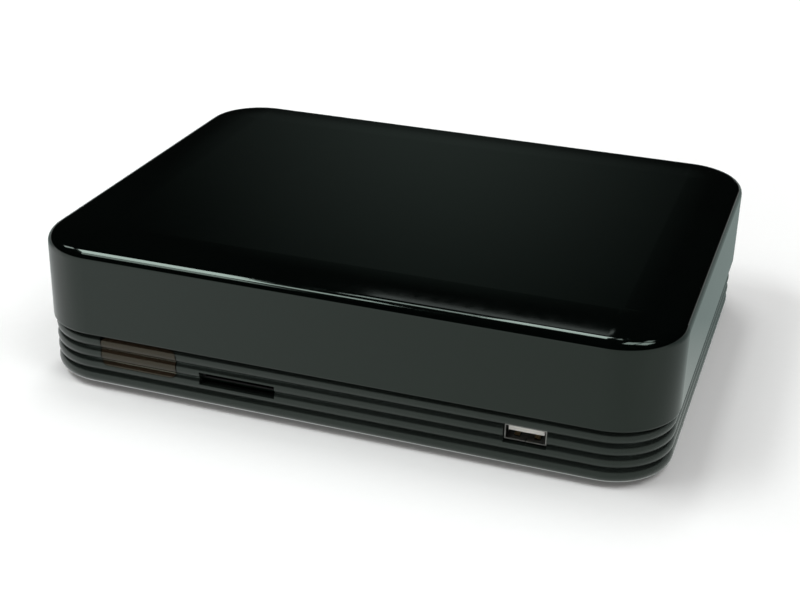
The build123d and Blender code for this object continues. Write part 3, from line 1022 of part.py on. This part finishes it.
with BuildPart() as power_switch_body:
    block((SWITCH_X - SWITCH_HALF[0], PANEL_Y - 10, SWITCH_Z - SWITCH_HALF[1]),
          (SWITCH_X + SWITCH_HALF[0], PANEL_FACE_Y + SWITCH_FLANGE, SWITCH_Z + SWITCH_HALF[1]))
    block((SWITCH_X - SWITCH_HALF[0] - SWITCH_FLANGE, PANEL_FACE_Y,
           SWITCH_Z - SWITCH_HALF[1] - SWITCH_FLANGE),
          (SWITCH_X + SWITCH_HALF[0] + SWITCH_FLANGE, PANEL_FACE_Y + SWITCH_FLANGE,
           SWITCH_Z + SWITCH_HALF[1] + SWITCH_FLANGE))
    block((SWITCH_X - ROCKER_HALF - 0.4, PANEL_Y - 7, SWITCH_Z - SWITCH_HALF[1] + 0.6),
          (SWITCH_X + ROCKER_HALF + 0.4, PANEL_FACE_Y + 2, SWITCH_Z + SWITCH_HALF[1] - 0.6),
          mode=Mode.SUBTRACT)
    reach = ROCKER_HALF + ROCKER_STUB_L + 0.2
    rod_x(ROCKER_Y, SWITCH_Z, SWITCH_X - reach, SWITCH_X + reach, ROCKER_STUB_R + SHAFT_GAP,
          mode=Mode.SUBTRACT)
keep(power_switch_body, "power_switch_body")

rocker_plane = Plane(origin=(SWITCH_X - ROCKER_HALF, ROCKER_Y, SWITCH_Z), z_dir=(1, 0, 0),
                     x_dir=(0, cos(SWITCH_LEAN), -sin(SWITCH_LEAN)))
with BuildPart() as power_rocker:
    with BuildSketch(rocker_plane):
        with BuildLine():
            Polyline((-3.5, -2.8), (0.6, -5.7), (2.6, -5.6), (1.7, 0), (2.6, 5.6), (0.6, 5.7),
                     (-3.5, 2.8), close=True)
        make_face()
    extrude(amount=2 * ROCKER_HALF)
    reach = ROCKER_HALF + ROCKER_STUB_L
    rod_x(ROCKER_Y, SWITCH_Z, SWITCH_X - reach, SWITCH_X + reach, ROCKER_STUB_R)
keep(power_rocker, "power_rocker")

with BuildPart() as reset_switch:
    block((SWITCH_X - 3, PANEL_Y - 6, BOARD_TOP), (SWITCH_X + 3, PANEL_Y - 0.5, RESET_Z + 3))
    rod_y(SWITCH_X, RESET_Z, PANEL_Y - RESET_BORE, PANEL_Y, RESET_R + 0.25, mode=Mode.SUBTRACT)
keep(reset_switch, "reset_switch")

with BuildPart() as reset_button:
    rod_y(SWITCH_X, RESET_Z, PANEL_Y - RESET_BORE + RESET_TRAVEL + 0.2, PANEL_FACE_Y + 0.8, RESET_R)
keep(reset_button, "reset_button")

# ---------------------------------------------------------------- fan
with BuildPart() as fan_frame:
    block((FAN_X - FAN / 2, FAN_Y, FAN_Z - FAN / 2), (FAN_X + FAN / 2, COVER_IN_Y, FAN_Z + FAN / 2))
    fillet(fan_frame.edges().filter_by(Axis.Y), 2.0)
    rod_y(FAN_X, FAN_Z, FAN_Y - 1, COVER_IN_Y + 1, FAN_R, mode=Mode.SUBTRACT)
    for x, z in FAN_SPOTS:
        rod_y(x, z, FAN_Y - 1, COVER_IN_Y + 1, SCREW_R, mode=Mode.SUBTRACT)
    rod_y(FAN_X, FAN_Z, FAN_Y, FAN_Y + FAN_WEB, HUB_R)
    rod_y(FAN_X, FAN_Z, FAN_Y, FAN_Y + 5, AXLE_R)
    with BuildSketch(Plane.XZ.offset(-FAN_Y - FAN_WEB)):
        with Locations([(FAN_X, FAN_Z)]):
            with PolarLocations(0, 3, start_angle=90):
                with Locations([((FAN_R + 0.5) / 2, 0)]):
                    Rectangle(FAN_R + 0.5, SPOKE_W)
    extrude(amount=FAN_WEB)
keep(fan_frame, "fan_frame")

with BuildPart() as fan_rotor:
    rod_y(FAN_X, FAN_Z, FAN_Y + 1.3, FAN_Y + 6.8, HUB_R)
    for k in range(BLADES):
        turn = radians(360 / BLADES * k)
        pitch = radians(BLADE_PITCH)
        blade = Plane(origin=(FAN_X, FAN_Y + 4, FAN_Z), x_dir=(cos(turn), 0, sin(turn)),
                      z_dir=(-sin(turn) * cos(pitch), sin(pitch), cos(turn) * cos(pitch)))
        with BuildSketch(blade):
            with Locations([((FAN_R - 0.9 + 3) / 2, 0)]):
                Rectangle(FAN_R - 0.9 - 3, BLADE_W)
        extrude(amount=BLADE_T / 2, both=True)
    rod_y(FAN_X, FAN_Z, FAN_Y + 1, FAN_Y + 5.4, AXLE_R + SHAFT_GAP, mode=Mode.SUBTRACT)
keep(fan_rotor, "fan_rotor")

with BuildPart() as fan_screws:
    for x, z in FAN_SPOTS:
        rod_y(x, z, HALF_D - FAN_SCREW_SINK, HALF_D - 0.1, FAN_SCREW_HEAD_R)
        rod_y(x, z, FAN_Y + 1, HALF_D - 1, SCREW_R - SCREW_GAP)
keep(fan_screws, "fan_screws")
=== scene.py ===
"""Looks of the media player with a hard drive tray: materials, floor, world, lamps and camera."""

import json
from math import cos, pi, radians, sin

import bpy
from mathutils import Matrix, Vector


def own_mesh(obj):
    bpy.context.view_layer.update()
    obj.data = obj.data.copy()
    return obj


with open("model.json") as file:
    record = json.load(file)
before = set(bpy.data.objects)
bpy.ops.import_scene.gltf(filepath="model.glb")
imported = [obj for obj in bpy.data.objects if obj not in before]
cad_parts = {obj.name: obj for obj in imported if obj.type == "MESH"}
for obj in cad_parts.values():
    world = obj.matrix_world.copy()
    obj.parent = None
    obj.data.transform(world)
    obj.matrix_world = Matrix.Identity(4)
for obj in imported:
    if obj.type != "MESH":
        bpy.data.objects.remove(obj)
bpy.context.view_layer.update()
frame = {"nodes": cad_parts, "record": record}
nodes = frame["nodes"]
scene = bpy.context.scene

# ---------------------------------------------------------------- settings; lengths are in metres
# camera, from the photograph
CAMERA = Vector((0.1463, -0.4509, 0.2372))
TARGET = Vector((0.00473, -0.02615, 0.02465))
ROLL = radians(1.487)
LENS = 65.67  # mm
SENSOR = 36  # mm
NEAREST = 0.01

# what the materials share; the scale of a noise is per metre
PLAIN = (1, 1, 1)
BRUSHED = (0.5, 1, 1)
MOTTLE_SCALE, MOTTLE_DETAIL = 45.0, 4.0
GRAIN_DETAIL, GRAIN_STRENGTH = 2.0, 0.6
GLOSS_COARSER, GLOSS_DETAIL, GLOSS_ROUGH = 9, 5.0, 0.6  # so many times coarser than the grain

# the base's lowest edge: its gloss starts at the first height and is full at the second
LIP = (0.0031, 0.0025)
LIP_ROUGH = 0.1

# the window's seams: darkest up to the first distance from an end, gone at the second
WINDOW_ENDS = (-0.0803, -0.0531)
SEAM = (0.00012, 0.00032)
SEAM_COLOUR = (0.002, 0.0015, 0.001)
SEAM_SPECULAR, WINDOW_SPECULAR = 0.05, 0.5

# the collars' colours change between their columns and between their rows
COLUMNS_PART_X = (0.0245, 0.0355)
ROWS_PART_Z = 0.0230
PART_WIDTH = 0.0001
SOIL_COLOUR = (0.02, 0.02, 0.02)
SOIL_SCALE, SOIL_MOST = 900.0, 0.16

# floor
FLOOR_SIZE = 12
FLOOR_COLOURS = ((0.965, 0.940, 0.940), (0.975, 0.950, 0.950))
FLOOR_SCALE, FLOOR_ROUGH, FLOOR_SPECULAR = 260.0, 0.55, 0.3
# how white it shows to the camera by itself, and the distances from the middle that this goes with
FLOOR_WHITE, FLOOR_AWAY = (0.02, 0.9), (0.16, 1.5)
# what gloss shows of it, and where that falls off: painted shade behind the object and to its right
MIRRORED_FULL, MIRRORED_SHADED_ASIDE, MIRRORED_SHADED_BEHIND = (1.0, 1.0, 1.0), (0.69, 0.715, 0.685), (0.275, 0.337, 0.322)
ASIDE_X, BEHIND_Y = (-0.12, 0.12), (-0.105, 0.05)

# world
BACKDROP, BACKDROP_STRENGTH = (1, 1, 1, 1), 1.05
AMBIENT, AMBIENT_STRENGTH = (1.0, 0.975, 0.97, 1), 0.38
ROOM_DARK, ROOM_GLOW, ROOM_LOW = (0.004, 0.004, 0.004), (0.079, 0.099, 0.090), (0.72, 0.74, 0.72)
LOW_HEIGHT = sin(radians(5))
# the top's soft glow mirrors this direction of an otherwise dark room
GLOW_FROM = Vector((-0.272, 0.910, 0.312)).normalized()
GLOW_WIDTH = 0.235

# lamps
LAMP_Z = 1.2
LAMP_COLOUR = (0.94, 1.0, 0.99)

# ---------------------------------------------------------------- camera
forward = (TARGET - CAMERA).normalized()
level = forward.cross(Vector((0, 0, 1))).normalized()
upright = level.cross(forward)
right = level * cos(ROLL) + upright * sin(ROLL)
up = upright * cos(ROLL) - level * sin(ROLL)
camera = bpy.data.objects.new("camera", bpy.data.cameras.new("camera"))
scene.collection.objects.link(camera)
camera.data.lens = LENS
camera.data.sensor_width = SENSOR
camera.data.clip_start = NEAREST
camera.matrix_world = Matrix.Translation(CAMERA) @ Matrix((right, up, -forward)).transposed().to_4x4()
scene.camera = camera
scene.view_settings.view_transform = "Standard"


# ---------------------------------------------------------------- helpers
def material(name):
    """A new material, its node tree and its shader."""
    made = bpy.data.materials.new(name)
    made.use_nodes = True
    return made, made.node_tree, made.node_tree.nodes["Principled BSDF"]


def add(tree, kind, **values):
    """A node with its inputs set by name."""
    node = tree.nodes.new(kind)
    for key, value in values.items():
        node.inputs[key].default_value = value
    return node


def place(tree, stretch=PLAIN):
    """The point on the piece, in metres, stretched along the axes."""
    where = tree.nodes.new("ShaderNodeTexCoord")
    scaled = add(tree, "ShaderNodeMapping", Scale=stretch)
    tree.links.new(where.outputs["Object"], scaled.inputs["Vector"])
    return scaled.outputs["Vector"]


def coordinates(tree, point):
    """The coordinates of a point, as outputs named X, Y and Z."""
    split = tree.nodes.new("ShaderNodeSeparateXYZ")
    tree.links.new(point, split.inputs["Vector"])
    return split.outputs


def noise(tree, point, scale, detail=3.0, rough=0.5):
    """Noise around 0.5, mostly within 0.3..0.7."""
    made = add(tree, "ShaderNodeTexNoise", Scale=scale, Detail=detail, Roughness=rough)
    tree.links.new(point, made.inputs["Vector"])
    return made.outputs["Fac"]


def spread(tree, value, low, high, start=0.3, end=0.7):
    """value, mapped from start..end to low..high; by default value is a noise."""
    made = tree.nodes.new("ShaderNodeMapRange")
    made.inputs["From Min"].default_value = start
    made.inputs["From Max"].default_value = end
    made.inputs["To Min"].default_value = low
    made.inputs["To Max"].default_value = high
    tree.links.new(value, made.inputs["Value"])
    return made.outputs["Result"]


def blend(tree, value, a, b):
    """Colour a where value is 0 and b where it is 1."""
    made = tree.nodes.new("ShaderNodeMix")
    made.data_type = "RGBA"
    for socket, colour in ((made.inputs[6], a), (made.inputs[7], b)):
        if isinstance(colour, tuple):
            socket.default_value = (*colour, 1)
        else:
            tree.links.new(colour, socket)
    tree.links.new(value, made.inputs[0])
    return made.outputs[2]


def either(tree, value, a, b):
    """Shader a where value is 0 and b where it is 1."""
    made = tree.nodes.new("ShaderNodeMixShader")
    for socket, source in zip(made.inputs, (value, a, b)):
        tree.links.new(source, socket)
    return made.outputs[0]


def product(tree, a, b):
    """a times b."""
    made = tree.nodes.new("ShaderNodeMath")
    made.operation = "MULTIPLY"
    tree.links.new(a, made.inputs[0])
    tree.links.new(b, made.inputs[1])
    return made.outputs[0]


def shade(colour, factor):
    """The colour, lighter or darker by a factor."""
    return tuple(c * factor for c in colour)


# ---------------------------------------------------------------- materials
looks = {}


def moulded(name, colour, rough, uneven, grain, relief, mottle=0.12, metal=0.0, stretch=PLAIN, tint=PLAIN):
    """Adds to looks a moulded or rolled material: fine grain, faint mottling and an uneven gloss."""
    made, tree, shader = material(name)
    shader.inputs["Metallic"].default_value = metal
    shader.inputs["Specular Tint"].default_value = (*tint, 1)
    point = place(tree, stretch)
    broad = noise(tree, point, MOTTLE_SCALE, MOTTLE_DETAIL)
    tree.links.new(blend(tree, spread(tree, broad, 0, 1), shade(colour, 1 - mottle), shade(colour, 1 + mottle)),
                   shader.inputs["Base Color"])
    middle = noise(tree, point, grain / GLOSS_COARSER, GLOSS_DETAIL, GLOSS_ROUGH)
    tree.links.new(spread(tree, middle, rough - uneven, rough + uneven), shader.inputs["Roughness"])
    bump = add(tree, "ShaderNodeBump", Strength=GRAIN_STRENGTH, Distance=relief)
    tree.links.new(noise(tree, point, grain, GRAIN_DETAIL), bump.inputs["Height"])
    tree.links.new(bump.outputs["Normal"], shader.inputs["Normal"])
    looks[name] = made


# name, colour, roughness, how uneven that is, scale of the grain, depth of the grain
moulded("cover_black", (0.0006, 0.0011, 0.0009), 0.07, 0.02, 2600, 1.2e-6, tint=(0.83, 1.0, 0.90))
moulded("base_black", (0.0085, 0.0108, 0.0094), 0.21, 0.03, 2600, 2e-6, tint=(0.85, 1.0, 0.91))
moulded("window_tint", (0.0165, 0.0108, 0.0066), 0.13, 0.03, 2600, 2e-6, tint=(0.87, 0.88, 0.70))
moulded("rubber", (0.018, 0.018, 0.018), 0.78, 0.06, 2200, 30e-6)
moulded("screw_steel", (0.42, 0.41, 0.40), 0.34, 0.1, 3000, 6e-6, metal=1.0)
moulded("handle_black", (0.010, 0.010, 0.010), 0.34, 0.05, 3200, 10e-6)
moulded("spring_steel", (0.55, 0.54, 0.52), 0.25, 0.06, 3000, 4e-6, metal=1.0)
moulded("sheet_steel", (0.52, 0.53, 0.54), 0.38, 0.05, 2600, 6e-6, mottle=0.05, metal=1.0, stretch=BRUSHED)
moulded("drive_alloy", (0.40, 0.41, 0.42), 0.46, 0.08, 2000, 20e-6, metal=1.0)
moulded("drive_lid", (0.60, 0.60, 0.59), 0.34, 0.03, 2600, 4e-6, mottle=0.03, metal=1.0, stretch=BRUSHED)
moulded("board_green", (0.004, 0.018, 0.010), 0.42, 0.08, 1600, 10e-6)
moulded("connector_black", (0.012, 0.012, 0.013), 0.42, 0.06, 2600, 10e-6)
moulded("chip_black", (0.016, 0.016, 0.017), 0.5, 0.06, 3600, 10e-6)
moulded("heatsink", (0.05, 0.05, 0.055), 0.42, 0.08, 2600, 10e-6, metal=1.0)
moulded("capacitor", (0.03, 0.035, 0.06), 0.38, 0.05, 2600, 6e-6)
moulded("inductor", (0.045, 0.044, 0.043), 0.6, 0.06, 2600, 10e-6)
moulded("port_metal", (0.55, 0.55, 0.54), 0.26, 0.06, 2600, 4e-6, metal=1.0)
moulded("tongue_white", (0.78, 0.77, 0.72), 0.4, 0.05, 2600, 5e-6)
moulded("spring_bronze", (0.36, 0.26, 0.15), 0.3, 0.06, 2600, 4e-6, metal=1.0)
moulded("led_lens", (0.55, 0.57, 0.55), 0.18, 0.04, 2600, 3e-6)
moulded("panel_black", (0.010, 0.010, 0.010), 0.46, 0.06, 2000, 20e-6)
moulded("insert_white", (0.62, 0.61, 0.57), 0.42, 0.05, 2600, 5e-6)
moulded("contact_gold", (0.80, 0.58, 0.24), 0.24, 0.05, 2600, 4e-6, metal=1.0)
moulded("switch_black", (0.009, 0.009, 0.009), 0.26, 0.05, 2600, 6e-6)
moulded("fan_black", (0.012, 0.012, 0.012), 0.4, 0.05, 2600, 10e-6)
moulded("collar_colours", (0.5, 0.04, 0.03), 0.36, 0.05, 2600, 6e-6)
moulded("slot_black", (0.006, 0.006, 0.006), 0.45, 0.06, 2600, 10e-6)
# a darker copy of the port metal: painted shade for the front USB shell
moulded("dark_metal", (0.24, 0.24, 0.23), 0.34, 0.06, 2600, 4e-6, metal=1.0)

# pieces whose look differs from that of the others in their slot; the front USB shell's darker metal is painted
# shade, for the shade inside the port's mouth
own_look = {"sd_socket": "slot_black", "front_usb_shell": "dark_metal"}


def collars_by_place():
    """The six collars in their usual colours: component row above, picture and sound below."""
    tree = looks["collar_colours"].node_tree
    shader = tree.nodes["Principled BSDF"]
    at = coordinates(tree, place(tree))
    second_column, third_column = (spread(tree, at["X"], 0, 1, x, x + PART_WIDTH) for x in COLUMNS_PART_X)
    upper_row = spread(tree, at["Z"], 0, 1, ROWS_PART_Z, ROWS_PART_Z + PART_WIDTH)
    green, blue, red = (0.02, 0.20, 0.05), (0.02, 0.06, 0.36), (0.42, 0.03, 0.02)
    yellow, white = (0.70, 0.48, 0.03), (0.70, 0.69, 0.65)
    above = blend(tree, third_column, blend(tree, second_column, green, blue), red)
    below = blend(tree, third_column, blend(tree, second_column, yellow, white), red)
    soil = spread(tree, noise(tree, place(tree), SOIL_SCALE), 0.0, SOIL_MOST)
    tree.links.new(blend(tree, soil, blend(tree, upper_row, below, above), SOIL_COLOUR),
                   shader.inputs["Base Color"])


def polish_lip():
    """The base's lowest edge is glossier than its ribs."""
    tree = looks["base_black"].node_tree
    shader = tree.nodes["Principled BSDF"]
    shader.inputs["Coat Roughness"].default_value = LIP_ROUGH
    z = coordinates(tree, place(tree))["Z"]
    tree.links.new(spread(tree, z, 0, 1, *LIP), shader.inputs["Coat Weight"])


def window_seams():
    """A dark hairline where each end of the window meets the base."""
    tree = looks["window_tint"].node_tree
    shader = tree.nodes["Principled BSDF"]
    x = coordinates(tree, place(tree))["X"]
    low, high = WINDOW_ENDS
    from_low = spread(tree, x, 0, 1, low + SEAM[0], low + SEAM[1])
    from_high = spread(tree, x, 0, 1, high - SEAM[0], high - SEAM[1])
    inside = product(tree, from_low, from_high)
    window = shader.inputs["Base Color"].links[0].from_socket
    tree.links.new(blend(tree, inside, SEAM_COLOUR, window), shader.inputs["Base Color"])
    tree.links.new(spread(tree, inside, SEAM_SPECULAR, WINDOW_SPECULAR, 0, 1),
                   shader.inputs["Specular IOR Level"])


collars_by_place()
polish_lip()
window_seams()

for entry in frame["record"]["subparts"]:
    piece = nodes[entry["node"]]
    piece.data.materials.clear()
    piece.data.materials.append(looks[own_look.get(entry["node"], entry["material_slot"])])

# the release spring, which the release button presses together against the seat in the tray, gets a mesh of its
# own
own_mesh(nodes["release_spring"])


# ---------------------------------------------------------------- floor, world and lamps
def floor_material():
    """Pale floor that keeps the object's shadow, but shows in gloss as if lit from below, with painted shade
    behind the object and to its right.
    """
    made, tree, shader = material("floor_pale")
    shader.inputs["Roughness"].default_value = FLOOR_ROUGH
    shader.inputs["Specular IOR Level"].default_value = FLOOR_SPECULAR
    shader.inputs["Emission Color"].default_value = (1, 1, 1, 1)
    path = tree.nodes.new("ShaderNodeLightPath").outputs
    point = place(tree)
    grain = spread(tree, noise(tree, point, FLOOR_SCALE), 0, 1)
    tree.links.new(blend(tree, grain, *FLOOR_COLOURS), shader.inputs["Base Color"])
    # to the camera it stays white far off, where the softboxes no longer reach
    away = tree.nodes.new("ShaderNodeVectorMath")
    away.operation = "LENGTH"
    tree.links.new(point, away.inputs[0])
    white = spread(tree, away.outputs["Value"], *FLOOR_WHITE, *FLOOR_AWAY)
    tree.links.new(product(tree, path["Is Camera Ray"], white), shader.inputs["Emission Strength"])
    # in gloss it glows, with painted shade falling off behind the object and to its right
    at = coordinates(tree, point)
    aside = spread(tree, at["X"], 0, 1, *ASIDE_X)
    behind = spread(tree, at["Y"], 0, 1, *BEHIND_Y)
    mirrored = blend(tree, behind, blend(tree, aside, MIRRORED_FULL, MIRRORED_SHADED_ASIDE), MIRRORED_SHADED_BEHIND)
    glowing = tree.nodes.new("ShaderNodeEmission")
    tree.links.new(mirrored, glowing.inputs["Color"])
    tree.links.new(either(tree, path["Is Glossy Ray"], shader.outputs[0], glowing.outputs[0]),
                   tree.nodes["Material Output"].inputs["Surface"])
    return made


def studio():
    """White to the camera, soft light on dull surfaces, and in gloss a dark room with a soft glow."""
    made = bpy.data.worlds.new("studio")
    made.use_nodes = True
    tree = made.node_tree
    tree.nodes.clear()
    out = tree.nodes.new("ShaderNodeOutputWorld")
    path = tree.nodes.new("ShaderNodeLightPath").outputs
    direction = tree.nodes.new("ShaderNodeTexCoord").outputs["Generated"]
    backdrop = add(tree, "ShaderNodeBackground", Color=BACKDROP, Strength=BACKDROP_STRENGTH)
    ambient = add(tree, "ShaderNodeBackground", Color=AMBIENT, Strength=AMBIENT_STRENGTH)
    room = add(tree, "ShaderNodeBackground", Strength=1.0)
    off_glow = tree.nodes.new("ShaderNodeVectorMath")
    off_glow.operation = "DISTANCE"
    off_glow.inputs[1].default_value = GLOW_FROM
    tree.links.new(direction, off_glow.inputs[0])
    glow = spread(tree, off_glow.outputs["Value"], 1, 0, 0.0, GLOW_WIDTH)
    glow.node.interpolation_type = "SMOOTHSTEP"
    low = spread(tree, coordinates(tree, direction)["Z"], 1, 0, 0.0, LOW_HEIGHT)
    tree.links.new(blend(tree, low, blend(tree, glow, ROOM_DARK, ROOM_GLOW), ROOM_LOW), room.inputs["Color"])
    unseen = either(tree, path["Is Glossy Ray"], ambient.outputs[0], room.outputs[0])
    tree.links.new(either(tree, path["Is Camera Ray"], unseen, backdrop.outputs[0]), out.inputs["Surface"])
    return made


def softbox(name, x, y, radiance, z=LAMP_Z):
    """A rectangular lamp that hangs level at z and shines down; radiance is its brightness when seen."""
    data = bpy.data.lights.new(name, "AREA")
    data.shape = "RECTANGLE"
    data.size, data.size_y = x[1] - x[0], y[1] - y[0]
    data.energy = radiance * pi * data.size * data.size_y
    data.color = LAMP_COLOUR
    made = bpy.data.objects.new(name, data)
    scene.collection.objects.link(made)
    made.location = (sum(x) / 2, sum(y) / 2, z)


bpy.ops.mesh.primitive_plane_add(size=FLOOR_SIZE, location=(0, 0, 0))
floor = bpy.context.object
floor.name = "floor"
floor.data.materials.append(floor_material())
scene.world = studio()

softbox("softbox_left", (-0.86, -0.505), (-0.62, 0.0), 10.5)
softbox("softbox_left_edge", (-0.93, -0.60), (-1.15, -0.70), 4)
softbox("softbox_middle", (-0.50, -0.36), (-0.66, -0.40), 7)
softbox("softbox_slit", (-0.40, -0.24), (0.12, 0.42), 4.5)
softbox("softbox_right", (-0.235, -0.06), (0.06, 0.68), 8.5, z=1.21)
softbox("softbox_left_end", (-1.50, -1.00), (-0.10, 0.14), 5)
softbox("pane_near", (0.30, 0.60), (-0.60, -0.16), 5)
softbox("pane_far", (0.67, 1.20), (-0.60, -0.12), 5)
softbox("pane_high", (0.56, 0.80), (0.02, 0.20), 4)
softbox("pane_slit", (0.02, 0.10), (0.26, 0.56), 3.5)
softbox("softbox_faint", (-0.60, -0.19), (1.29, 1.49), 0.7)
